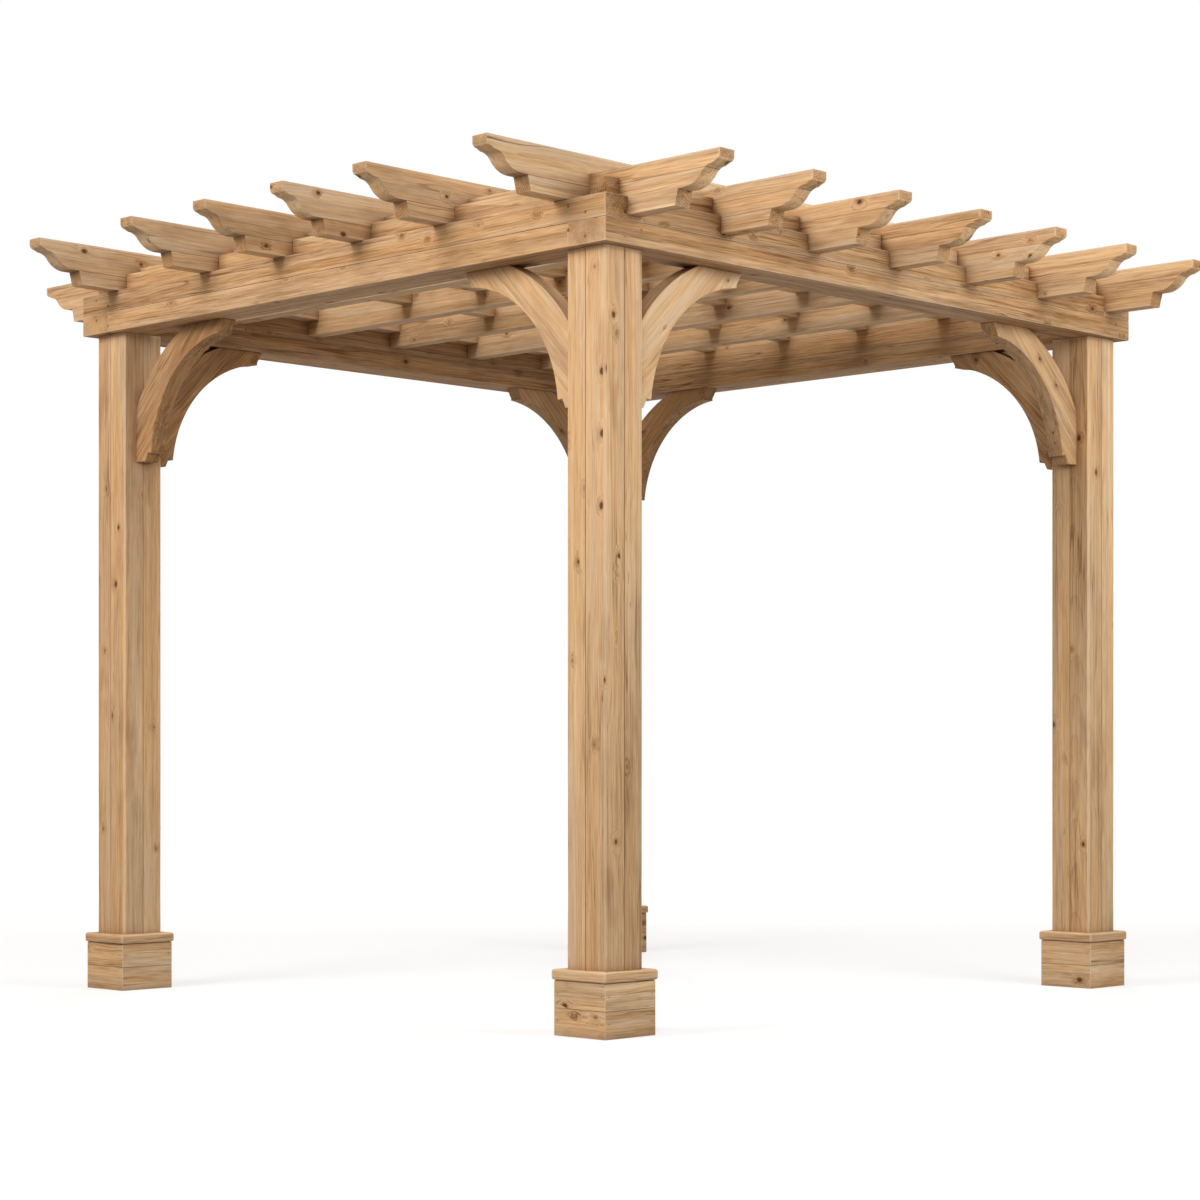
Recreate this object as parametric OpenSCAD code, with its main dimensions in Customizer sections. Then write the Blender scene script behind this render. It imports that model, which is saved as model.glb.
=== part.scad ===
// Cedar garden pergola: four posts on boxed plinths, lapped double beams, curved knee braces,
// and two crossing layers of rafters with shaped tails.
// Origin at ground level in the middle of the plan, +Z up, millimetres.
// The front is the -Y side and the left is the -X side.

/* [Posts] */
// Distance between post centres, left to right
span_x = 2240; // [1800:10:3000]
// Distance between post centres, front to back
span_y = 2170; // [1800:10:3000]
// Side of the square post
post_w = 148; // [120:1:180]
// Height of the post, ground to underside of the beams
post_h = 2118; // [1800:1:2600]
// Eased corner of the post
post_ease = 7; // [2:1:12]
// Width and depth of the groove down the middle of each post face
groove_d = 2; // [1:0.5:8]

/* [Plinths] */
// Height of the boxed plinth
plinth_h = 150; // [100:1:260]
// Thickness of the plinth boards
plinth_board = 23; // [18:1:40]
// Depth of the groove where two plinth boards meet
plinth_groove = 0.8; // [0.4:0.1:4]
// Depth of the shadow gap under the collar
plinth_gap = 3; // [1:0.5:6]
// Thickness of the collar on top of the plinth
collar_h = 29.5; // [15:0.5:40]
// How far the collar stands out past the plinth boards
collar_lip = 5; // [2:0.5:15]
// Rounding of the collar's edges
collar_round = 7; // [3:0.5:7]

/* [Beams] */
// Height of one beam timber, two are stacked on each side
beam_h = 64.5; // [50:0.5:90]
// Thickness of the beam timbers
beam_t = 140; // [120:1:180]
// How far the beam stands out past the outer face of the post
beam_proud = 33; // [10:1:60]
// Eased long edges of the beam timbers
beam_ease = 1.5; // [1:0.5:8]

/* [Rafters] */
// How far the rafters run out past the front and back beams
rafter_overhang = 332; // [240:1:450]
// How far the cross rafters run out past the side beams
cross_overhang = 297; // [240:1:450]
// Depth of a rafter
rafter_h = 129; // [110:1:180]
// Thickness of a rafter
rafter_t = 56; // [38:1:70]
// How far the rafters drop over the front and back beams
lap = 50; // [30:1:64]
// Number of rafters that run front to back
rafter_count = 7; // [4:1:8]
// Number of cross rafters that run left to right
cross_count = 6; // [4:1:7]
// Distance from an outer cross rafter to the next one, the rest are evenly spaced
cross_end_bay = 484; // [300:1:500]
// Side play of the lapped notches
notch_play = 0.5; // [0.2:0.1:1.5]
// Depth of the groove where the two boards of a rafter meet
seam_d = 0.8; // [0.4:0.1:3]

/* [Rafter tails] */
// Height of the blunt nose at the rafter's end
nose_h = 30; // [20:1:40]
// Rounding under the nose
nose_r = 13; // [6:1:16]
// How far the hollow starts below the nose
nose_drop = 7; // [2:1:10]
// Radius of the hollow behind the nose
cove_r = 42; // [30:1:50]
// Distance from the rafter's end to the middle of the hollow
cove_at = 29; // [24:1:40]
// Radius of the belly behind the hollow
belly_r = 79; // [60:1:90]
// Depth of the upper board, which carries the shaped end
tail_h = 86; // [76:1:98]
// Length of the flat between the belly and the step
step_flat = 22; // [5:1:50]
// Slant of the step, end to end
step_slant = 11; // [0:1:30]

/* [Knee braces] */
// Thickness of a knee brace
brace_t = 56; // [38:1:90]
// How far a brace reaches along the beam from the post face
brace_reach = 451; // [400:1:560]
// How far a brace reaches down the post
brace_drop = 416; // [380:1:520]
// Length of the brace's seat under the beam
seat_beam = 180; // [140:1:220]
// Length of the brace's seat on the post
seat_post = 170; // [140:1:220]
// Radius of the hollow inner edge
brace_inner_r = 388; // [360:1:400]
// Radius of the bowed outer edge
brace_outer_r = 520; // [480:1:900]
// Width of the square-cut lower end
toe_w = 50; // [35:1:60]
// Height of the slanted cut under the beam end
tip_cut = 36; // [20:1:45]
// Slant of the cut under the beam end
tip_slant = 22; // [10:1:30]
// Height of the slanted cut over the post end
toe_cut = 26; // [15:1:35]
// Slant of the cut over the post end
toe_slant = 12; // [5:1:20]
// How far the middle of the hollow lies out past the beam end
hollow_out = 15; // [0:1:30]
// How far the middle of the hollow lies below the post end
hollow_below = 14; // [0:1:30]

/* [Blocking] */
// Height of the blocks between the rafters
block_h = 53; // [35:1:60]
// Thickness of the blocks
block_t = 42; // [30:1:50]
// How far the blocks sit back from the beam's outer face
block_back = 30; // [10:1:45]
// Length of the short end blocks at the front and back corners
stub_l = 45; // [20:1:60]

/* [Hidden] */
// How far a cut runs past the face that it opens, and how finely curves are drawn
over = 1;
small_steps = 6;
curve_steps = 8;
circle_sides = 128;

// Post centres and the levels that the pieces share
post_x = span_x / 2;
post_y = span_y / 2;
beam_low = post_h;
beam_mid = beam_low + beam_h;
beam_top = beam_mid + beam_h;
plinth_w = post_w + 2 * plinth_board;
collar_w = plinth_w + 2 * collar_lip;

// Faces of the beams, measured from the middle of the plan
beam_out = post_w / 2 + beam_proud;
beam_in = beam_t - beam_out;
front_out = post_y + beam_out;
front_in = post_y - beam_in;
side_out = post_x + beam_out;
side_in = post_x - beam_in;
rafter_l = 2 * (front_out + rafter_overhang);
cross_l = 2 * (side_out + cross_overhang);

// The outer rafters stand on the side beams, flush with their inner faces.
// The outer cross rafters run just inside the front and back beams.
rafter_z = beam_top - lap;
cross_z = beam_top;
rafter_edge = side_in + rafter_t / 2;
cross_edge = front_in - rafter_t / 2;
rafter_x = [for (i = [0 : rafter_count - 1]) -rafter_edge + i * 2 * rafter_edge / (rafter_count - 1)];
cross_inner = cross_edge - cross_end_bay;
cross_y = concat(
    [-cross_edge],
    [for (i = [0 : cross_count - 3]) -cross_inner + i * 2 * cross_inner / (cross_count - 3)],
    [cross_edge]
);

// Corners are named front or back, then left or right
CORNERS = [["front_left", -1, -1], ["front_right", 1, -1], ["back_left", -1, 1], ["back_right", 1, 1]];
SIDES = ["front", "back", "left", "right"];

cedar = "#c99a64";
cedar_pale = "#d6ad7a";
cedar_deep = "#b98650";

function flipped(points) = [for (i = [len(points) - 1 : -1 : 0]) points[i]];

// Points on a circle from one angle to another
function arc(center, r, from, to, steps) =
    [for (i = [0 : steps]) let (turn = from + (to - from) * i / steps) center + r * [cos(turn), sin(turn)]];

// Rectangle about the origin with cut corners
module eased_rect(w, h, ease) {
    x = w / 2;
    y = h / 2;
    polygon([
        [-x + ease, -y], [x - ease, -y], [x, -y + ease], [x, y - ease],
        [x - ease, y], [-x + ease, y], [-x, y - ease], [-x, -y + ease]
    ]);
}

// V-shaped cut into a face at x = 0, open towards +X
module groove(w, depth) {
    polygon([[0, -w / 2], [over, -w / 2], [over, w / 2], [0, w / 2], [-depth, 0]]);
}

// Square block whose four sides all have the same outline, drawn as half-width against height
module moulded_block(outline) {
    profile = concat(outline, [for (p = flipped(outline)) [-p[0], p[1]]]);
    reach = 2 * max([for (p = outline) p[0]]);
    intersection() {
        rotate([90, 0, 0]) linear_extrude(reach, center = true) polygon(profile);
        rotate([90, 0, 90]) linear_extrude(reach, center = true) polygon(profile);
    }
}

module at_corner(c) {
    translate([c[1] * post_x, c[2] * post_y, 0]) children();
}

// Post with eased corners and a groove down the middle of each face
module post(c) {
    color(cedar)
    at_corner(c)
    linear_extrude(post_h)
    difference() {
        eased_rect(post_w, post_w, post_ease);
        for (turn = [0 : 90 : 270])
            rotate(turn)
            translate([post_w / 2, 0])
            groove(groove_d, groove_d);
    }
}

module post_hole() {
    translate([-post_w / 2, -post_w / 2, -over])
    cube([post_w, post_w, plinth_h + collar_h + 2 * over]);
}

// Box of boards round the foot of the post, two boards high
module plinth(c) {
    half = plinth_w / 2;
    seam = plinth_h / 2;
    outline = [
        [half, 0],
        [half, seam - plinth_groove], [half - plinth_groove, seam], [half, seam + plinth_groove],
        [half, plinth_h - plinth_gap], [half - plinth_gap, plinth_h]
    ];
    color(cedar)
    at_corner(c)
    difference() {
        moulded_block(outline);
        post_hole();
    }
}

// Collar with rounded edges on top of the plinth
module collar(c) {
    half = collar_w / 2;
    outline = concat(
        arc([half - collar_round, collar_round], collar_round, -90, 0, small_steps),
        arc([half - collar_round, collar_h - collar_round], collar_round, 0, 90, small_steps)
    );
    color(cedar_pale)
    at_corner(c)
    translate([0, 0, plinth_h])
    difference() {
        moulded_block(outline);
        translate([0, 0, -plinth_h]) post_hole();
    }
}

// One beam timber along X, centred on its length
module timber(l) {
    rotate([90, 0, 90])
    linear_extrude(l, center = true)
    eased_rect(beam_t, beam_h, beam_ease);
}

// Two timbers on one side. At the corners the lower front and back timbers run through,
// and the upper side timbers run through over them.
module beam(side, level) {
    along_x = side == "front" || side == "back";
    through = along_x == (level == "lower");
    sign = side == "front" || side == "left" ? -1 : 1;
    z = (level == "lower" ? beam_low : beam_mid) + beam_h / 2;
    color(level == "lower" ? cedar : cedar_pale)
    if (along_x)
        translate([0, sign * (front_out - beam_t / 2), z]) timber(2 * (through ? side_out : side_in));
    else
        translate([sign * (side_out - beam_t / 2), 0, z])
        rotate(90) timber(2 * (through ? front_out : front_in));
}

// Shaped tail from the top corner at the end round to the bottom, measured from the end and from below
function tail() =
    let (
        flat = rafter_h - tail_h,
        belly_z = flat + belly_r,
        rise = sqrt(pow(cove_r + belly_r, 2) - pow(belly_z - cove_z(), 2)),
        belly = [cove_at + rise, belly_z],
        meet = atan2(belly_z - cove_z(), rise)
    )
    concat(
        [[0, rafter_h]],
        arc([nose_r, rafter_h - nose_h + nose_r], nose_r, 180, 270, small_steps),
        arc([cove_at, cove_z()], cove_r, 90, meet, curve_steps),
        arc(belly, belly_r, 180 + meet, 270, curve_steps),
        [[belly[0] + step_flat, flat], [belly[0] + step_flat + step_slant, 0]]
    );

// Height of the middle of the hollow, a little under the nose
function cove_z() = rafter_h - nose_h - nose_drop - cove_r;

// Side view of a rafter: both tails and the straight edges between them
module rafter_side(l) {
    left = [for (p = tail()) [p[0] - l / 2, p[1]]];
    right = [for (p = flipped(left)) [-p[0], p[1]]];
    polygon(concat(left, right));
}

// Rafter on edge along X, its upper and lower board marked by a groove along both sides.
// The children are cut out of its side view.
module rafter_timber(l) {
    difference() {
        rotate([90, 0, 0])
        linear_extrude(rafter_t, center = true)
        difference() {
            rafter_side(l);
            children();
        }
        for (m = [0, 1])
            mirror([0, m, 0])
            translate([0, rafter_t / 2, rafter_h - tail_h])
            rotate([90, 0, 90])
            linear_extrude(l, center = true)
            groove(2 * seam_d, seam_d);
    }
}

// Notch in the underside of a rafter, between two places along it
module notch(from, to, depth) {
    translate([from - notch_play, -over]) square([to - from + 2 * notch_play, depth + over]);
}

// Rafter from front to back. It drops over the front and back beams, and an outer one also sits
// down on the side beam for its whole length.
module rafter(i) {
    outer = i == 0 || i == rafter_count - 1;
    color(cedar)
    translate([rafter_x[i], 0, rafter_z])
    rotate(90)
    rafter_timber(rafter_l)
        if (outer)
            notch(-front_out, front_out, lap);
        else
            for (m = [0, 1])
                mirror([m, 0]) notch(front_in, front_out, lap);
}

// Cross rafter from left to right, on top of the side beams and notched over every rafter
module cross_rafter(i) {
    color(cedar_pale)
    translate([0, cross_y[i], cross_z])
    rafter_timber(cross_l)
        for (x = rafter_x)
            notch(x - rafter_t / 2, x + rafter_t / 2, rafter_h - lap);
}

// Outline of a knee brace. The corner between the post and the beam is the origin.
module brace_side() {
    lip = [toe_w + toe_slant, toe_cut - brace_drop];
    nose = [brace_reach - tip_slant, -tip_cut];
    middle = [brace_reach + hollow_out, -brace_drop - hollow_below];
    seat_a = [0, seat_post - brace_drop];
    seat_b = [brace_reach - seat_beam, 0];
    chord = seat_b - seat_a;
    half = norm(chord) / 2;
    away = [chord[1], -chord[0]] / norm(chord);
    bow_center = (seat_a + seat_b) / 2 + away * sqrt(brace_outer_r * brace_outer_r - half * half);
    difference() {
        intersection() {
            polygon([[0, 0], [brace_reach, 0], nose, middle, lip, [toe_w, -brace_drop], [0, -brace_drop]]);
            translate(bow_center) circle(brace_outer_r, $fn = circle_sides);
        }
        translate(middle) circle(brace_inner_r, $fn = circle_sides);
    }
}

// Knee brace on one post, leaning along X or along Y
module brace(c, way) {
    color(cedar_deep)
    at_corner(c)
    translate([0, 0, beam_low])
    if (way == "x")
        mirror([c[1] > 0 ? 1 : 0, 0, 0])
        translate([post_w / 2, 0, 0])
        rotate([90, 0, 0]) linear_extrude(brace_t, center = true) brace_side();
    else
        mirror([0, c[2] > 0 ? 1 : 0, 0])
        translate([0, post_w / 2, 0])
        rotate([90, 0, 90]) linear_extrude(brace_t, center = true) brace_side();
}

// Short block along X, standing on the beam
module block(from, to) {
    translate([from + notch_play, -block_t / 2, 0])
    cube([to - from - 2 * notch_play, block_t, block_h]);
}

// Blocks that close the gaps between rafters on top of a beam
module blocks_between(places) {
    for (i = [0 : len(places) - 2])
        block(places[i] + rafter_t / 2, places[i + 1] - rafter_t / 2);
}

module blocking(side) {
    sign = side == "front" || side == "left" ? -1 : 1;
    outer = rafter_edge + rafter_t / 2;
    color(cedar_pale)
    if (side == "front" || side == "back")
        translate([0, sign * (front_out - block_back - block_t / 2), beam_top]) {
            blocks_between(rafter_x);
            block(-outer - stub_l, -outer);
            block(outer, outer + stub_l);
        }
    else
        translate([sign * (side_out - block_back - block_t / 2), 0, beam_top])
        rotate(90) blocks_between(cross_y);
}

for (c = CORNERS) {
    post(c);
    plinth(c);
    collar(c);
    brace(c, "x");
    brace(c, "y");
}
for (s = SIDES) {
    beam(s, "lower");
    beam(s, "upper");
    blocking(s);
}
for (i = [0 : rafter_count - 1])
    rafter(i);
for (i = [0 : cross_count - 1])
    cross_rafter(i);
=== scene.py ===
"""Looks of the cedar pergola: procedural timber on every node, plugs and pins, floor, light and camera."""
import math

import bmesh
import bpy
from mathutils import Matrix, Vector

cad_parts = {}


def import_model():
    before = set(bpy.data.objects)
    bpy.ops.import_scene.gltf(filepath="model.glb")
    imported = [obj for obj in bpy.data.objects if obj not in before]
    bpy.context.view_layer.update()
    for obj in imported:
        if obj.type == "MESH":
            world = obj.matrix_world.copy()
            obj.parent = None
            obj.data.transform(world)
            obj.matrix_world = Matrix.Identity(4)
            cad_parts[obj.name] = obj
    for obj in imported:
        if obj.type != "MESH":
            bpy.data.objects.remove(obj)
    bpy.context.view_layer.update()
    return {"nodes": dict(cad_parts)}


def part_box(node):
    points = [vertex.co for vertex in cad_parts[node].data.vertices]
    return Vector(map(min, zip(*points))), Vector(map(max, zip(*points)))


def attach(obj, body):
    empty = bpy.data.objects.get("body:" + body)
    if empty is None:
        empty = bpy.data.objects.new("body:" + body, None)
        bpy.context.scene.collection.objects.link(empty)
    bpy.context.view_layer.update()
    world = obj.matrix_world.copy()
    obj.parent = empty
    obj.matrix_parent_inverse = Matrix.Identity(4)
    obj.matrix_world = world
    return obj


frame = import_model()
NODES = frame["nodes"]

X = Vector((1, 0, 0))
Y = Vector((0, 1, 0))
Z = Vector((0, 0, 1))

# Boards and grooves in the timbers, and the band of painted shadow on a plinth's top under its collar, in
# metres
RAFTER_LOWER_BOARD = 0.043
PLINTH_SEAM = 0.075
POST_GROOVE_HALF = 0.0011
BOARD_SEAM_HALF = 0.0009
# Painted shadow: height of the dark band at a plinth's top, under the collar
COLLAR_SHADOW_BAND = 0.006
# Shares of a seam's half width: where its darkness ends, and up to where it is full
SEAM_FADE = (1.9, 0.6)

# Rounding of sharp edges: widths in metres for some kinds, and for all others
EDGE_ROUND = {"post": 0.0010, "beam": 0.0012, "plinth": 0.0010}
EDGE_ROUND_ELSE = 0.0022
EDGE_SEGMENTS = 2
EDGE_ANGLE = math.radians(40)
WELD_GAP = 0.0001
FLAT_WEIGHT = 80

# Plugs over the screws, and the hollow edge of the braces that they sit in
PLUG_RADIUS = 0.0048
PLUG_SIDES = 14
# Share of the radius and rise over the face, from the sunk foot to the top
PLUG_RINGS = ((1.0, -0.002), (1.0, 0.0001), (0.86, 0.0005), (0.45, 0.0007))
PLUG_SHADE = -0.30
PLUG_GLOSS = 0.25
HOLLOW_RADIUS = 0.388
HOLLOW_OUT = 0.015
HOLLOW_BELOW = 0.014
BRACE_PLUG_TURNS = (100.0, 106.0, 163.0, 168.0)
BEAM_PLUG_STEP = 0.032
BEAM_PLUG_RISE = 0.012
PIN_RADIUS = 0.0017
PIN_INSET = 0.014
PIN_HEIGHTS = (0.27, 0.76)

# Camera fitted to the photograph, which is 1200 by 1200 pixels
EYE = Vector((-6.367, -6.245, 0.7546))
LOOK_TURN = math.radians(44.44)
LENS = 81.8
SENSOR = 36.0
SHIFT = (-0.0072, 0.1297)
CLIP_END = 200

# Lamps: name, place, target, width in metres, power in watts and colour
SUN_WHITE = (1.0, 0.99, 0.98)
LAMPS = (
    ("key", (-6.0, 0.6, 4.4), (-0.6, 0.0, 1.4), 3.2, 275, SUN_WHITE),
    ("fill", (0.4, -4.0, 2.5), (0.2, -0.8, 1.3), 2.4, 100, (0.87, 0.94, 1.0)),
    ("front", (-5.2, -4.4, 2.8), (-1.0, -0.6, 2.0), 2.0, 112, (0.93, 0.96, 1.0)),
    ("top", (-0.5, -0.5, 7.5), (0.0, 0.0, 0.0), 5.0, 260, (1.0, 1.0, 1.0)),
    ("back", (5.6, 5.0, 3.6), (0.4, 0.4, 1.3), 4.0, 250, SUN_WHITE),
)

# Floor, which glows to white further out, and sky
FLOOR_REACH = 40.0
FLOOR_PAINT = (0.36, 0.352, 0.34, 1.0)
FLOOR_GLOW = 0.62
FLOOR_GLOW_RISE = 0.38
FLOOR_GLOW_RANGE = (2.5, 9.0)
SKY = (1.0, 0.99, 0.97, 1.0)
SKY_STRENGTH = 0.185
BACKGROUND = (1.0, 1.0, 1.0, 1.0)

# Colours of the wood from dark to pale, and of the marks on it
HONEY = [
    (0.00, (0.215, 0.102, 0.041)),
    (0.22, (0.360, 0.197, 0.090)),
    (0.42, (0.497, 0.292, 0.145)),
    (0.62, (0.603, 0.376, 0.201)),
    (0.82, (0.675, 0.453, 0.264)),
    (1.00, (0.745, 0.545, 0.350)),
]
KNOT_DARK = (0.085, 0.034, 0.014, 1.0)
KNOT_RIM = (0.300, 0.132, 0.050, 1.0)
# Dark of the cracks and seams, also used for the painted shadow under the collars
CRACK_AND_SHADOW = (0.120, 0.055, 0.024, 1.0)
STAIN = (0.70, 0.62, 0.56, 1.0)
WORN = (0.760, 0.570, 0.375, 1.0)
GREYER = (0.93, 0.97, 1.03, 1.0)
YELLOWER = (1.05, 1.01, 0.92, 1.0)
# Tint of the painted shade in joints, corners and under parts
JOINT_SHADE = (0.58, 0.50, 0.44, 1.0)
END_PALE = (0.74, 0.67, 0.60, 1.0)
END_DARK = (0.50, 0.43, 0.37, 1.0)

# Tone of a timber against the mean, where the longest name that fits counts. Some entries are painted
# light and shade
SHADES = {
    "beam": -0.23,
    # Painted shade: the front beams a little darker on their front faces
    "beam_front": -0.25,
    "blocking": -0.05,
    "rafter": 0.04,
    # Painted light: the cross rafters lighter, as their tails stand in the light
    "cross_rafter": 0.13,
    "plinth": 0.06,
    # Painted shade: the braces darker, as in the shade of the beams; the front left braces lighter, as
    # painted light
    "brace": -0.25,
    "brace_front_left": 0.11,
    "post": 0.0,
    "collar": 0.0,
}
LOWER_BOARD_DARKER = 0.06
SAWN_PALER = 0.17
SAWN_CALMER = 0.50

# By kind, and 1 for all others: strength of the figure, share of end grain, narrowing of the worn edge
FIGURES = {"post": 0.85, "plinth": 1.15, "beam": 0.92, "brace": 0.75}
END_SHARES = {"beam": 0.18, "plinth": 0.0, "collar": 0.0}
EDGE_NARROWER = {"beam": 2.5, "plinth": 2.5}
SPLIT_KINDS = ("beam", "rafter")
UNWORN_KINDS = ("brace", "blocking")
FAR_FROM_EDGE = 1.0
# How far a face has to turn to the end of the timber to show end grain
END_TURN = (0.72, 0.92)

# Seeds of the random draws: the first one, and the steps between timbers and between boards in a timber
FIRST_SEED = 1.0
TIMBER_SEED_STEP = 0.618
QUARTER_SEED_STEP = 0.0131
RAFTER_SEED_STEP = 0.37
ROUND_SEED_STEP = 0.173
BLOCK_SEED_SPAN = 7.0
BOARD_STRETCH = (3.7, 2.9, 5.3)

# Noise in the wood: changes in a metre across the grain and along it, detail and roughness
RAGGED = (230.0, 230.0, 2.0, 0.5)
WAVE = (6.0, 5.0, 1.0, 0.5)
WANDER = (2.0, 0.5, 1.0, 0.5)
WOBBLE = (9.0, 3.0, 2.0, 0.5)
VEIN = (44.0, 0.9, 1.0, 0.5)
VEIN_BREAKS = (16.0, 2.2, 1.0, 0.5)
DRIFT = (19.0, 0.8, 2.0, 0.5)
BLOTCH = (9.0, 3.0, 3.0, 0.6)
SPLIT = (13.0, 0.40, 1.0, 0.5)
SPLIT_BREAKS = (8.0, 1.8, 1.0, 0.5)

# Streaks of the figure from broad to fine: the noise of each, and how far it moves the tone
STREAKS = {
    "broad": ((7.0, 0.7, 2.0, 0.5), 0.55),
    "long": ((22.0, 0.5, 1.0, 0.5), 0.34),
    "medium": ((58.0, 1.6, 3.0, 0.6), 0.66),
    "narrow": ((165.0, 4.5, 2.0, 0.6), 0.74),
    "fibre": ((400.0, 16.0, 2.0, 0.5), 0.55),
}
MEAN_TONE = 0.60
BOARD_TONE_SPAN = 0.14
BANDS_SPAN = 0.34
VEIN_DARKER = 0.30
LATE_DARKER = 0.13
SWIRL_DARKER = 0.14

# Knots: cells in a metre, how far each face shifts them, and sizes in metres
KNOT_CELLS = (11.0, 11.0, 4.4)
KNOT_FACE_SHIFT = (7.3, 11.7, 5.1)
KNOT_CHANCE = (0.58, 0.60)
KNOT_DEPTH_IGNORED = 0.94
KNOT_OVAL = (1.0, 1.0, 0.72)
KNOT_RAGGED = 0.004
KNOT_SMALLEST = 0.0022
KNOT_GROWTH = 0.0052
KNOT_GROWTH_RANGE = (0.30, 1.0)
# Where the parts of a knot begin outside its size, and where they are full
KNOT_REACHES = {"core": (0.0008, -0.0016), "rim": (0.0075, -0.0005), "swirl": (0.0220, 0.0)}
KNOT_BEND = (0.6, 0.6, 0.0)
WAVE_REACH = 0.014

# Growth rings in metres: where the pith may lie, how it leans, and what bends the rings
PITH_SPANS = (0.20, 0.26)
PITH_ASIDE = 0.02
PITH_LEAN = 0.09
WANDER_REACH = 0.035
WOBBLE_REACH = 0.007
SWIRL_REACH = 0.007
RING_WIDTH = 0.0066
LATE_SHARPNESS = 2.4
BANDS_IN_METRE = 46.0
BANDS_DETAIL = 1.0

# Values between which each mark comes in, from none to full
VEIN_RANGE = (0.030, 0.004)
VEIN_BREAKS_RANGE = (0.42, 0.62)
DRIFT_RANGE = (0.34, 0.66)
BLOTCH_RANGE = (0.54, 0.72)
WORN_RANGE = (0.0090, 0.0005)
WORN_RAGGED = 0.012
SPLIT_RANGE = (0.0050, 0.0012)
SPLIT_BREAKS_RANGE = (0.55, 0.64)

# Share of the surface's colour that each mark takes at its fullest
STAIN_SHARE = 0.65
WORN_SHARE = 0.42
RIM_SHARE = 0.52
CORE_SHARE = 0.90
SPLIT_SHARE = 0.80
SEAM_AND_SHADOW_SHARE = 0.50

# Painted shade in the joints and under parts, from ambient occlusion, then roughness and relief
JOINT_SHADE_SAMPLES = 4
JOINT_SHADE_REACH = 0.045
JOINT_SHADE_FALL = 1.3
UNSHADED_RANGE = (0.05, 0.95)
ROUGH = 0.60
ROUGH_STREAKS = 0.16
ROUGH_END = 0.12
RELIEF = {"fibre": 0.40, "narrow": 0.35, "late": -0.20, "split": -1.6, "core": -0.5}
BUMP_STRENGTH = 0.35
BUMP_DISTANCE = 0.0009
WOOD_GLOSS = 0.10


class Shader:
    """Short ways to add and link nodes in one node tree."""

    def __init__(self, tree):
        self.tree = tree

    def add(self, kind, **settings):
        node = self.tree.nodes.new(kind)
        for key, value in settings.items():
            setattr(node, key, value)
        return node

    def put(self, socket, value):
        """Links a socket to another one, or sets its value."""
        if isinstance(value, bpy.types.NodeSocket):
            self.tree.links.new(value, socket)
        else:
            socket.default_value = value

    def fill(self, node, *values):
        """Puts the values in a node's first sockets and returns its first output."""
        for socket, value in zip(node.inputs, values):
            self.put(socket, value)
        return node.outputs[0]

    def math(self, operation, a, b=0.0, c=0.0):
        return self.fill(self.add("ShaderNodeMath", operation=operation), a, b, c)

    def times(self, a, b):
        return self.math("MULTIPLY", a, b)

    def size(self, value):
        """A value without its sign."""
        return self.math("ABSOLUTE", value)

    def total(self, *values):
        """Sum of all the values."""
        result = values[0]
        for value in values[1:]:
            result = self.math("ADD", result, value)
        return result

    def centred(self, value, span):
        """A value from 0 to 1 turned into one from minus half the span to plus half."""
        return self.times(self.math("SUBTRACT", value, 0.5), span)

    def vector(self, operation, a, b=(0.0, 0.0, 0.0)):
        node = self.add("ShaderNodeVectorMath", operation=operation)
        self.put(node.inputs[0], a)
        self.put(node.inputs["Scale"] if operation == "SCALE" else node.inputs[1], b)
        return node.outputs["Value" if operation in ("DOT_PRODUCT", "LENGTH") else "Vector"]

    def combine(self, x, y, z):
        return self.fill(self.add("ShaderNodeCombineXYZ"), x, y, z)

    def separate(self, vector):
        node = self.add("ShaderNodeSeparateXYZ")
        self.put(node.inputs[0], vector)
        return node.outputs

    def noise(self, vector, detail, rough=0.5):
        node = self.add("ShaderNodeTexNoise", noise_dimensions="3D")
        self.put(node.inputs["Vector"], vector)
        node.inputs["Scale"].default_value = 1.0
        node.inputs["Detail"].default_value = detail
        node.inputs["Roughness"].default_value = rough
        return node.outputs[0]

    def streaks(self, place, across, along, detail, rough):
        """Noise with its own number of changes in a metre across the grain and along it."""
        return self.noise(self.vector("MULTIPLY", place, (across, across, along)), detail, rough)

    def step(self, value, low, high):
        """Smooth change from 0 at low to 1 at high. It falls where low is the larger."""
        node = self.add("ShaderNodeMapRange", interpolation_type="SMOOTHSTEP")
        self.put(node.inputs["Value"], value)
        limits = (high, low, 1.0, 0.0) if low > high else (low, high, 0.0, 1.0)
        for name, limit in zip(("From Min", "From Max", "To Min", "To Max"), limits):
            node.inputs[name].default_value = limit
        return node.outputs["Result"]

    def ramp(self, factor, stops):
        node = self.add("ShaderNodeValToRGB")
        points = node.color_ramp.elements
        while len(points) < len(stops):
            points.new(0.5)
        for point, (place, color) in zip(points, stops):
            point.position = place
            point.color = (*color, 1.0)
        self.put(node.inputs[0], factor)
        return node.outputs[0]

    def between(self, factor, a, b, kind, blend="MIX"):
        """Colour or vector a where factor is 0, and its mix or blend with b where it is 1."""
        node = self.add("ShaderNodeMix", data_type=kind, blend_type=blend)
        self.put(node.inputs["Factor"], factor)
        for name, value in (("A", a), ("B", b)):
            socket = next(s for s in node.inputs if s.name == name and s.type == kind)
            self.put(socket, value)
        return next(s for s in node.outputs if s.type == kind)

    def mix(self, factor, a, b):
        """Colour a where factor is 0 and colour b where it is 1."""
        return self.between(factor, a, b, "RGBA")

    def pick(self, factor, a, b):
        """Vector a where factor is 0 and vector b where it is 1."""
        return self.between(factor, a, b, "VECTOR")

    def tint(self, color, tint):
        """A colour times a tint."""
        return self.between(1.0, color, tint, "RGBA", "MULTIPLY")


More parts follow.
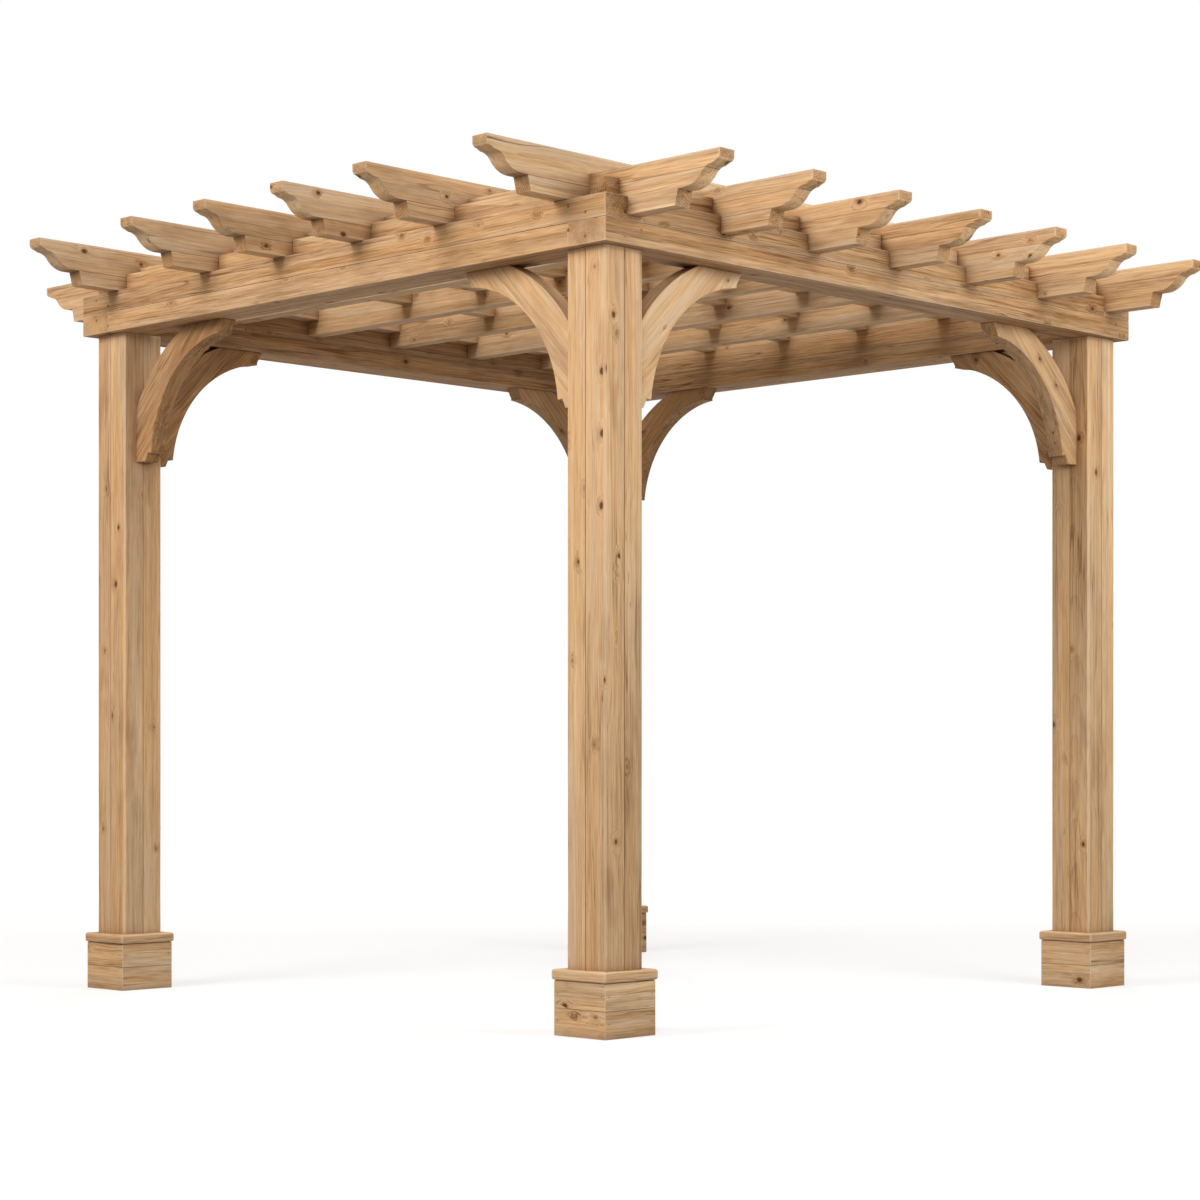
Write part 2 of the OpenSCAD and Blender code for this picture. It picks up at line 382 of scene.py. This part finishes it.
def knots(s, place, facing):
    """A branch in some cells of the solid: its core, rim and swirl, and the way off its middle."""
    face = s.vector("FLOOR", s.vector("ADD", facing, (0.5, 0.5, 0.5)))
    shift = s.vector("MULTIPLY", face, KNOT_FACE_SHIFT)
    cell_place = s.vector("ADD", s.vector("MULTIPLY", place, KNOT_CELLS), shift)
    cell = s.add("ShaderNodeTexVoronoi", voronoi_dimensions="3D", feature="F1")
    s.put(cell.inputs["Vector"], cell_place)
    cell.inputs["Scale"].default_value = 1.0
    cell.inputs["Randomness"].default_value = 1.0
    fate = s.separate(cell.outputs["Color"])
    off = s.vector("DIVIDE", s.vector("SUBTRACT", cell_place, cell.outputs["Position"]), KNOT_CELLS)
    inward = s.vector("SCALE", facing, s.vector("DOT_PRODUCT", off, facing))
    spread = s.vector("SUBTRACT", off, s.vector("SCALE", inward, KNOT_DEPTH_IGNORED))
    ragged = s.centred(s.streaks(place, *RAGGED), KNOT_RAGGED)
    away = s.math("ADD", s.vector("LENGTH", s.vector("MULTIPLY", spread, KNOT_OVAL)), ragged)
    growth = s.times(s.step(fate[1], *KNOT_GROWTH_RANGE), KNOT_GROWTH)
    outside = s.math("SUBTRACT", away, s.math("ADD", KNOT_SMALLEST, growth))
    grown = s.step(fate[0], *KNOT_CHANCE)
    marks = {name: s.times(s.step(outside, *reach), grown) for name, reach in KNOT_REACHES.items()}
    return marks, off


def growth_rings(s, given, place, luck, swirl):
    """Late wood and bands of rings round a leaning pith. They run out of a face as chevrons."""
    ring = s.separate(given["Rings"])
    lean = s.times(ring[2], s.centred(luck[2], PITH_LEAN))
    pith_a = s.math("ADD", s.centred(luck[0], PITH_SPANS[0]), lean)
    pith_b = s.math("ADD", s.centred(luck[1], PITH_SPANS[1]), PITH_ASIDE)
    away = s.combine(s.math("SUBTRACT", ring[0], pith_a), s.math("SUBTRACT", ring[1], pith_b), 0.0)
    radius = s.total(
        s.vector("LENGTH", away),
        s.times(s.streaks(place, *WANDER), WANDER_REACH),
        s.times(s.streaks(place, *WOBBLE), WOBBLE_REACH),
        s.times(swirl, SWIRL_REACH),
    )
    late = s.math("POWER", s.math("FRACT", s.math("DIVIDE", radius, RING_WIDTH)), LATE_SHARPNESS)
    bands = s.noise(s.combine(s.times(radius, BANDS_IN_METRE), given["Seed"], 0.0), BANDS_DETAIL)
    return late, bands


def figure_tone(s, flow, marks):
    """Change of tone from the streaks, thin dark veins, the rings and the swirl round a knot."""
    vein = s.step(s.size(s.centred(s.streaks(flow, *VEIN), 1.0)), *VEIN_RANGE)
    vein = s.times(vein, s.step(s.streaks(flow, *VEIN_BREAKS), *VEIN_BREAKS_RANGE))
    return s.total(
        *(s.centred(marks[name], span) for name, (_, span) in STREAKS.items()),
        s.times(vein, -VEIN_DARKER),
        s.centred(marks["bands"], BANDS_SPAN),
        s.times(marks["late"], -LATE_DARKER),
        s.times(marks["swirl"], -SWIRL_DARKER),
    )


def drying_splits(s, place, flow):
    """Broken dark lines along the grain."""
    line = s.size(s.centred(s.streaks(flow, *SPLIT), 1.0))
    broken = s.step(s.streaks(place, *SPLIT_BREAKS), *SPLIT_BREAKS_RANGE)
    return s.times(s.step(line, *SPLIT_RANGE), broken)


def marked_color(s, color, given, place, marks):
    """A colour with stains, worn edges, knots, splits, seams with the painted shadow under the collars,
    end grain, and painted shade in the joints.
    """
    blotch = s.step(s.streaks(place, *BLOTCH), *BLOTCH_RANGE)
    color = s.mix(s.times(blotch, STAIN_SHARE), color, s.tint(color, STAIN))
    from_edge = s.math("ADD", given["Edge"], s.centred(marks["medium"], WORN_RAGGED))
    for mark, share, mark_color in (
        (s.step(from_edge, *WORN_RANGE), WORN_SHARE, WORN),
        (marks["rim"], RIM_SHARE, KNOT_RIM),
        (marks["core"], CORE_SHARE, KNOT_DARK),
        (marks["split"], SPLIT_SHARE, CRACK_AND_SHADOW),
        # Seams, together with the painted shadow under the collars
        (given["Seam"], SEAM_AND_SHADOW_SHARE, CRACK_AND_SHADOW),
    ):
        color = s.mix(s.times(mark, share), color, mark_color)
    end_tint = s.mix(marks["late"], END_PALE, END_DARK)
    color = s.mix(given["End"], color, s.tint(color, end_tint))
    # Painted shade: ambient occlusion darkens the colour in joints, corners and under parts
    occlusion = s.add("ShaderNodeAmbientOcclusion", samples=JOINT_SHADE_SAMPLES)
    occlusion.inputs["Distance"].default_value = JOINT_SHADE_REACH
    open_air = s.math("POWER", occlusion.outputs["AO"], JOINT_SHADE_FALL)
    return s.mix(s.step(open_air, *UNSHADED_RANGE), s.tint(color, JOINT_SHADE), color)


def empty_cedar_group():
    """The group's sockets: places, random draw, strengths and masks in, and the looks out."""
    group = bpy.data.node_groups.new("cedar", "ShaderNodeTree")
    for name in ("Grain", "Rings", "Facing"):
        group.interface.new_socket(name, in_out="INPUT", socket_type="NodeSocketVector")
    for name in ("Seed", "Shade", "Figure", "Seam", "Edge", "End", "Splits"):
        group.interface.new_socket(name, in_out="INPUT", socket_type="NodeSocketFloat")
    group.interface.new_socket("Color", in_out="OUTPUT", socket_type="NodeSocketColor")
    for name in ("Roughness", "Height"):
        group.interface.new_socket(name, in_out="OUTPUT", socket_type="NodeSocketFloat")
    return group


def cedar_group():
    """Solid cedar. Grain holds a place in the timber: across, across, along. All lengths are metres."""
    group = empty_cedar_group()
    s = Shader(group)
    given = s.add("NodeGroupInput").outputs

    # Three random numbers for this board, and its own stretch of the noise
    lot = s.add("ShaderNodeTexWhiteNoise", noise_dimensions="1D")
    s.put(lot.inputs["W"], given["Seed"])
    luck = s.separate(lot.outputs["Color"])
    place = s.vector("ADD", given["Grain"], s.vector("SCALE", BOARD_STRETCH, given["Seed"]))

    # Knots, the grain that bends round them, and what lies along it
    marks, off = knots(s, place, given["Facing"])
    bend = s.vector("SCALE", s.vector("MULTIPLY", off, KNOT_BEND), marks["swirl"])
    wave = s.centred(s.streaks(place, *WAVE), WAVE_REACH)
    flow = s.vector("ADD", s.vector("SUBTRACT", place, bend), s.combine(wave, wave, 0.0))
    marks["late"], marks["bands"] = growth_rings(s, given, place, luck, marks["swirl"])
    for name, (noise, _) in STREAKS.items():
        marks[name] = s.streaks(flow, *noise)
    marks["split"] = s.times(drying_splits(s, place, flow), given["Splits"])

    # Colour from the tone, a slow drift of hue and the marks
    figure = s.times(figure_tone(s, flow, marks), given["Figure"])
    tone = s.total(MEAN_TONE, given["Shade"], s.centred(luck[0], BOARD_TONE_SPAN), figure)
    drift = s.step(s.streaks(flow, *DRIFT), *DRIFT_RANGE)
    color = s.tint(s.ramp(tone, HONEY), s.mix(drift, GREYER, YELLOWER))

    result = s.add("NodeGroupOutput").inputs
    s.put(result["Color"], marked_color(s, color, given, place, marks))
    streaked = s.times(marks["medium"], ROUGH_STREAKS)
    s.put(result["Roughness"], s.total(ROUGH, streaked, s.times(given["End"], ROUGH_END)))
    s.put(result["Height"], s.total(*(s.times(marks[name], rise) for name, rise in RELIEF.items())))
    return group


CEDAR = cedar_group()


def new_material(name):
    """An empty material and the means to fill it."""
    material = bpy.data.materials.new(name)
    material.use_nodes = True
    material.node_tree.nodes.clear()
    return material, Shader(material.node_tree)


def cedar_surface(s, wood, gloss):
    """Gives the surface cedar with these inputs, and returns both nodes."""
    cedar = s.add("ShaderNodeGroup", node_tree=CEDAR)
    for name, value in wood.items():
        s.put(cedar.inputs[name], value)
    surface = s.add("ShaderNodeBsdfPrincipled")
    surface.inputs["Specular IOR Level"].default_value = gloss
    s.put(surface.inputs["Base Color"], cedar.outputs["Color"])
    s.put(surface.inputs["Roughness"], cedar.outputs["Roughness"])
    s.put(s.add("ShaderNodeOutputMaterial").inputs["Surface"], surface.outputs[0])
    return cedar, surface


def edge_distance(s, parts, halves):
    """Distance from the nearest edge of a box, for a point on its surface."""
    gaps = [s.math("SUBTRACT", half, s.size(part)) for part, half in zip(parts, halves)]
    low = s.math("MINIMUM", gaps[0], gaps[1])
    high = s.math("MAXIMUM", gaps[0], gaps[1])
    return s.math("MAXIMUM", low, s.math("MINIMUM", high, gaps[2]))


def seam_mask(s, distance, half):
    """1 in a seam of this half width and 0 away from it."""
    return s.step(s.size(distance), *(half * share for share in SEAM_FADE))


def reseed(s, wood, board, step):
    """Gives each numbered board in a timber its own random draw."""
    wood["Seed"] = s.math("ADD", s.times(board, step), wood["Seed"])


def post_quarters(s, wood, parts):
    """Four quarters, glued with a groove down the middle of each face and matched across it."""
    right = s.math("GREATER_THAN", parts[0], 0.0)
    behind = s.math("GREATER_THAN", parts[1], 0.0)
    reseed(s, wood, s.math("ADD", right, s.times(behind, 2.0)), QUARTER_SEED_STEP)
    across = [s.size(part) for part in parts[:2]]
    wood["Rings"] = s.combine(*across, parts[2])
    wood["Seam"] = seam_mask(s, s.math("MINIMUM", *across), POST_GROOVE_HALF)


def rafter_boards(s, wood, parts, halves):
    """An upper board with the shaped end, and a darker lower board under it."""
    above = s.math("ADD", parts[1], halves[1] - RAFTER_LOWER_BOARD)
    upper = s.math("GREATER_THAN", above, 0.0)
    reseed(s, wood, upper, RAFTER_SEED_STEP)
    wood["Seam"] = seam_mask(s, above, BOARD_SEAM_HALF)
    darker = s.times(s.math("SUBTRACT", upper, 1.0), LOWER_BOARD_DARKER)
    wood["Shade"] = s.math("ADD", wood["Shade"], darker)


def boards_round_post(s, wood, kind, parts, halves, facing):
    """Boards that run round a post, mitred at the corners. A plinth is two of them high, and its top under
    the collar gets a band of painted shadow.
    """
    side = s.math("GREATER_THAN", s.size(parts[0]), s.size(parts[1]))
    far = s.math("GREATER_THAN", s.math("ADD", parts[0], parts[1]), 0.0)
    board = s.math("ADD", far, s.times(side, 2.0))
    if kind == "plinth":
        top = 2 * halves[2]
        height = s.math("ADD", parts[2], halves[2])
        upper = s.math("GREATER_THAN", height, PLINTH_SEAM)
        board = s.math("ADD", board, s.times(upper, 4.0))
        seam = seam_mask(s, s.math("SUBTRACT", height, PLINTH_SEAM), BOARD_SEAM_HALF)
        # Painted shadow: a dark band at the plinth's top, under the collar's lip, joins the seam mask
        wood["Seam"] = s.math("MAXIMUM", seam, s.step(height, top - COLLAR_SHADOW_BAND, top))
    reseed(s, wood, board, ROUND_SEED_STEP)
    for name, values in (("Grain", parts), ("Facing", facing)):
        a, b, c = values
        wood[name] = s.pick(side, s.combine(b, c, a), s.combine(a, c, b))


def loose_blocks(s, wood):
    """Each block of a set is a board of its own."""
    island = s.add("ShaderNodeNewGeometry").outputs["Random Per Island"]
    reseed(s, wood, island, BLOCK_SEED_SPAN)


def sawn_ends(s, wood, ends):
    """Ends that are sawn clean: paler, calmer and without splits."""
    wood["Shade"] = s.math("MULTIPLY_ADD", ends, SAWN_PALER, wood["Shade"])
    wood["Figure"] = s.math("MULTIPLY_ADD", ends, -SAWN_CALMER, wood["Figure"])
    wood["Splits"] = s.math("SUBTRACT", wood["Splits"], ends)


def cedar_material(name, number, kind, along, across):
    """One timber's own cedar: its grain runs along it, and each board in it has its own figure."""
    material, s = new_material("cedar_" + name)
    low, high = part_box(name)
    axes = (across, along.cross(across), along)
    halves = [abs((high - low).dot(axis)) / 2 for axis in axes]
    place = s.vector("SUBTRACT", s.add("ShaderNodeTexCoord").outputs["Object"], tuple((low + high) / 2))
    normal = s.add("ShaderNodeNewGeometry").outputs["True Normal"]
    parts = [s.vector("DOT_PRODUCT", place, tuple(axis)) for axis in axes]
    facing = [s.vector("DOT_PRODUCT", normal, tuple(axis)) for axis in axes]
    ends = s.step(s.size(facing[2]), *END_TURN)
    wood = {
        "Grain": s.combine(*parts),
        "Facing": s.combine(*facing),
        "Seed": FIRST_SEED + number * TIMBER_SEED_STEP,
        "Shade": SHADES[max((key for key in SHADES if name.startswith(key)), key=len)],
        "Figure": FIGURES.get(kind, 1.0),
        "Seam": 0.0,
        "Edge": FAR_FROM_EDGE,
        "End": s.times(ends, END_SHARES.get(kind, 1.0)),
        "Splits": 1.0 if kind in SPLIT_KINDS else 0.0,
    }
    if kind == "post":
        post_quarters(s, wood, parts)
    elif kind == "rafter":
        rafter_boards(s, wood, parts, halves)
    elif kind in ("plinth", "collar"):
        boards_round_post(s, wood, kind, parts, halves, facing)
    elif kind == "blocking":
        loose_blocks(s, wood)
    elif kind == "beam" and along == X:
        sawn_ends(s, wood, ends)
    if kind not in UNWORN_KINDS:
        wood["Edge"] = s.times(edge_distance(s, parts, halves), EDGE_NARROWER.get(kind, 1.0))
    wood.setdefault("Rings", wood["Grain"])
    cedar, surface = cedar_surface(s, wood, WOOD_GLOSS)
    bump = s.add("ShaderNodeBump")
    bump.inputs["Strength"].default_value = BUMP_STRENGTH
    bump.inputs["Distance"].default_value = BUMP_DISTANCE
    s.put(bump.inputs["Height"], cedar.outputs["Height"])
    s.put(surface.inputs["Normal"], bump.outputs["Normal"])
    return material


def timber_axes(name):
    """Kind of a node, the way its grain runs and the way across its thickness."""
    words = name.split("_")
    kind = words[0].replace("cross", "rafter")
    if kind in ("post", "plinth", "collar"):
        return kind, Z, X
    if kind == "brace":
        low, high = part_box(name)
        way = X if name.endswith("x") else Y
        outward = -1 if (low + high).dot(way) > 0 else 1
        return kind, (way * outward + Z).normalized(), Y if way == X else X
    if "cross" in words or "front" in words or "back" in words:
        return kind, X, Y
    return kind, Y, X


def round_edges(obj, width):
    """Small rounding on every sharp edge, with even shading over the flats."""
    weld = obj.modifiers.new("join", "WELD")
    weld.merge_threshold = WELD_GAP
    bevel = obj.modifiers.new("round", "BEVEL")
    bevel.width = width
    bevel.segments = EDGE_SEGMENTS
    bevel.limit_method = "ANGLE"
    bevel.angle_limit = EDGE_ANGLE
    even = obj.modifiers.new("even", "WEIGHTED_NORMAL")
    even.weight = FLAT_WEIGHT


def finish_timbers():
    """Cedar and rounded edges on every CAD node."""
    for number, name in enumerate(sorted(NODES)):
        obj = NODES[name]
        kind, along, across = timber_axes(name)
        obj.data.materials.clear()
        obj.data.materials.append(cedar_material(name, number, kind, along, across))
        round_edges(obj, EDGE_ROUND.get(kind, EDGE_ROUND_ELSE))


def plug_material(name):
    """Dark cedar end grain of the plugs and pins."""
    material, s = new_material(name)
    place = s.add("ShaderNodeTexCoord").outputs["Object"]
    wood = {
        "Grain": place,
        "Rings": place,
        "Seed": s.add("ShaderNodeNewGeometry").outputs["Random Per Island"],
        "Shade": PLUG_SHADE,
        "Figure": 1.0,
        "Edge": FAR_FROM_EDGE,
        "End": 1.0,
    }
    cedar_surface(s, wood, PLUG_GLOSS)
    return material


def add_plug(built, point, out, radius):
    """One domed plug at a point on a face, pointing out of it."""
    turn = Vector(out).to_track_quat("Z", "Y").to_matrix()
    loops = []
    for share, rise in PLUG_RINGS:
        loop = []
        for i in range(PLUG_SIDES):
            angle = 2 * math.pi * i / PLUG_SIDES
            spot = Vector((radius * share * math.cos(angle), radius * share * math.sin(angle), rise))
            loop.append(built.verts.new(Vector(point) + turn @ spot))
        loops.append(loop)
    for low, high in zip(loops, loops[1:]):
        for i in range(PLUG_SIDES):
            j = (i + 1) % PLUG_SIDES
            built.faces.new((low[i], low[j], high[j], high[i]))
    built.faces.new(loops[-1])
    built.faces.new(list(reversed(loops[0])))


def plugs(name, places, radius):
    """One piece of many small plugs, each at a point and with the way out of its face."""
    built = bmesh.new()
    for point, out in places:
        add_plug(built, point, out, radius)
    mesh = bpy.data.meshes.new(name)
    built.to_mesh(mesh)
    built.free()
    mesh.materials.append(plug_material(name))
    obj = bpy.data.objects.new(name, mesh)
    bpy.context.scene.collection.objects.link(obj)
    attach(obj, "root")


def nodes_named(start):
    """Names of the nodes that start so, in order."""
    return [name for name in sorted(NODES) if name.startswith(start)]


def brace_plugs():
    """Two plugs near each end of a brace, in its hollow edge."""
    places = []
    for name in nodes_named("brace"):
        low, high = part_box(name)
        middle = (low + high) / 2
        way = X if name.endswith("x") else Y
        inward = -1 if middle.dot(way) > 0 else 1
        post_face = (low if inward > 0 else high).dot(way)
        level = middle - way * middle.dot(way)
        level.z = high.z
        center_u = abs((high - low).dot(way)) + HOLLOW_OUT
        center_v = low.z - high.z - HOLLOW_BELOW
        for degrees in BRACE_PLUG_TURNS:
            turn = math.radians(degrees)
            u = center_u + HOLLOW_RADIUS * math.cos(turn)
            v = center_v + HOLLOW_RADIUS * math.sin(turn)
            point = level + way * (post_face + inward * u) + Z * v
            toward = way * (-inward * math.cos(turn)) - Z * math.sin(turn)
            places.append((point, toward))
    plugs("brace_plugs", places, PLUG_RADIUS)


def beam_plugs():
    """Two plugs in the outer face of each beam timber, over each post."""
    places = []
    for side, way, out in (("front", X, -Y), ("back", X, Y), ("left", Y, -X), ("right", Y, X)):
        axis = Y if way == X else X
        corners = ("left", "right") if way == X else ("front", "back")
        for level in ("lower", "upper"):
            low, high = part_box("beam_%s_%s" % (side, level))
            face = (low if out.dot(axis) < 0 else high).dot(axis)
            rise = (low.z + high.z) / 2
            for corner in corners:
                name = "post_%s_%s" % ((side, corner) if way == X else (corner, side))
                post_low, post_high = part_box(name)
                post = ((post_low + post_high) / 2).dot(way)
                for step in (-1, 1):
                    point = way * (post + step * BEAM_PLUG_STEP) + axis * face
                    point.z = rise + step * BEAM_PLUG_RISE
                    places.append((point, out))
    plugs("beam_plugs", places, PLUG_RADIUS)


def rafter_plugs():
    """One plug in the top of each cross rafter over each rafter."""
    places = []
    for cross in nodes_named("cross_rafter"):
        low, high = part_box(cross)
        for name in nodes_named("rafter_"):
            rafter_low, rafter_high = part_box(name)
            point = Vector(((rafter_low.x + rafter_high.x) / 2, (low.y + high.y) / 2, high.z))
            places.append((point, Z))
    plugs("rafter_plugs", places, PLUG_RADIUS)


def plinth_pins():
    """Small pins near both ends of every plinth board."""
    places = []
    for name in nodes_named("plinth"):
        low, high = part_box(name)
        middle = (low + high) / 2
        half = (high - low) / 2
        for out, way in ((X, Y), (-X, Y), (Y, X), (-Y, X)):
            reach = half.x if way == Y else half.y
            for end in (-1, 1):
                for share in PIN_HEIGHTS:
                    point = middle + out * reach + way * (end * (reach - PIN_INSET))
                    point.z = low.z + share * (high.z - low.z)
                    places.append((point, out))
    plugs("plinth_pins", places, PIN_RADIUS)


def background_rays(s):
    """1 for rays that meet the white background: from the camera, reflected or passed through."""
    rays = s.add("ShaderNodeLightPath").outputs
    bent = s.math("MAXIMUM", rays["Is Glossy Ray"], rays["Is Transmission Ray"])
    return s.math("MAXIMUM", rays["Is Camera Ray"], bent)


def floor():
    """Pale floor that keeps a faint shadow."""
    reach = FLOOR_REACH
    corners = [(-reach, -reach, 0), (reach, -reach, 0), (reach, reach, 0), (-reach, reach, 0)]
    mesh = bpy.data.meshes.new("floor")
    mesh.from_pydata(corners, [], [(0, 1, 2, 3)])
    obj = bpy.data.objects.new("floor", mesh)
    bpy.context.scene.collection.objects.link(obj)
    material, s = new_material("pale_floor")
    paint = s.add("ShaderNodeBsdfDiffuse")
    paint.inputs["Color"].default_value = FLOOR_PAINT
    glow = s.add("ShaderNodeEmission")
    away = s.vector("LENGTH", s.add("ShaderNodeTexCoord").outputs["Object"])
    rise = s.times(s.step(away, *FLOOR_GLOW_RANGE), FLOOR_GLOW_RISE)
    s.put(glow.inputs["Strength"], s.times(background_rays(s), s.math("ADD", FLOOR_GLOW, rise)))
    both = s.fill(s.add("ShaderNodeAddShader"), paint.outputs[0], glow.outputs[0])
    s.put(s.add("ShaderNodeOutputMaterial").inputs["Surface"], both)
    mesh.materials.append(material)


def world():
    """Soft sky that lights the timbers, with a white background."""
    studio = bpy.data.worlds.new("studio")
    bpy.context.scene.world = studio
    studio.use_nodes = True
    s = Shader(studio.node_tree)
    s.tree.nodes.clear()
    sky = s.add("ShaderNodeBackground")
    sky.inputs["Color"].default_value = SKY
    sky.inputs["Strength"].default_value = SKY_STRENGTH
    white = s.add("ShaderNodeBackground")
    white.inputs["Color"].default_value = BACKGROUND
    chosen = s.fill(s.add("ShaderNodeMixShader"), background_rays(s), sky.outputs[0], white.outputs[0])
    s.put(s.add("ShaderNodeOutputWorld").inputs["Surface"], chosen)


def lights():
    """Round area lamps, which the camera doesn't see."""
    for name, place, target, width, power, color in LAMPS:
        light = bpy.data.lights.new(name, "AREA")
        light.shape = "DISK"
        light.size = width
        light.energy = power
        light.color = color
        obj = bpy.data.objects.new(name, light)
        obj.location = place
        obj.rotation_euler = (Vector(target) - Vector(place)).to_track_quat("-Z", "Y").to_euler()
        obj.visible_camera = False
        bpy.context.scene.collection.objects.link(obj)


def camera():
    """The photograph's view, level and shifted, so that uprights stay upright."""
    data = bpy.data.cameras.new("photo_view")
    data.lens = LENS
    data.sensor_width = SENSOR
    data.shift_x, data.shift_y = SHIFT
    data.clip_end = CLIP_END
    obj = bpy.data.objects.new("photo_view", data)
    obj.location = EYE
    look = Vector((math.cos(LOOK_TURN), math.sin(LOOK_TURN), 0.0))
    obj.rotation_euler = look.to_track_quat("-Z", "Y").to_euler()
    bpy.context.scene.collection.objects.link(obj)
    bpy.context.scene.camera = obj


camera()
lights()
world()
floor()
finish_timbers()
brace_plugs()
beam_plugs()
rafter_plugs()
plinth_pins()

bpy.context.scene.view_settings.view_transform = "Standard"
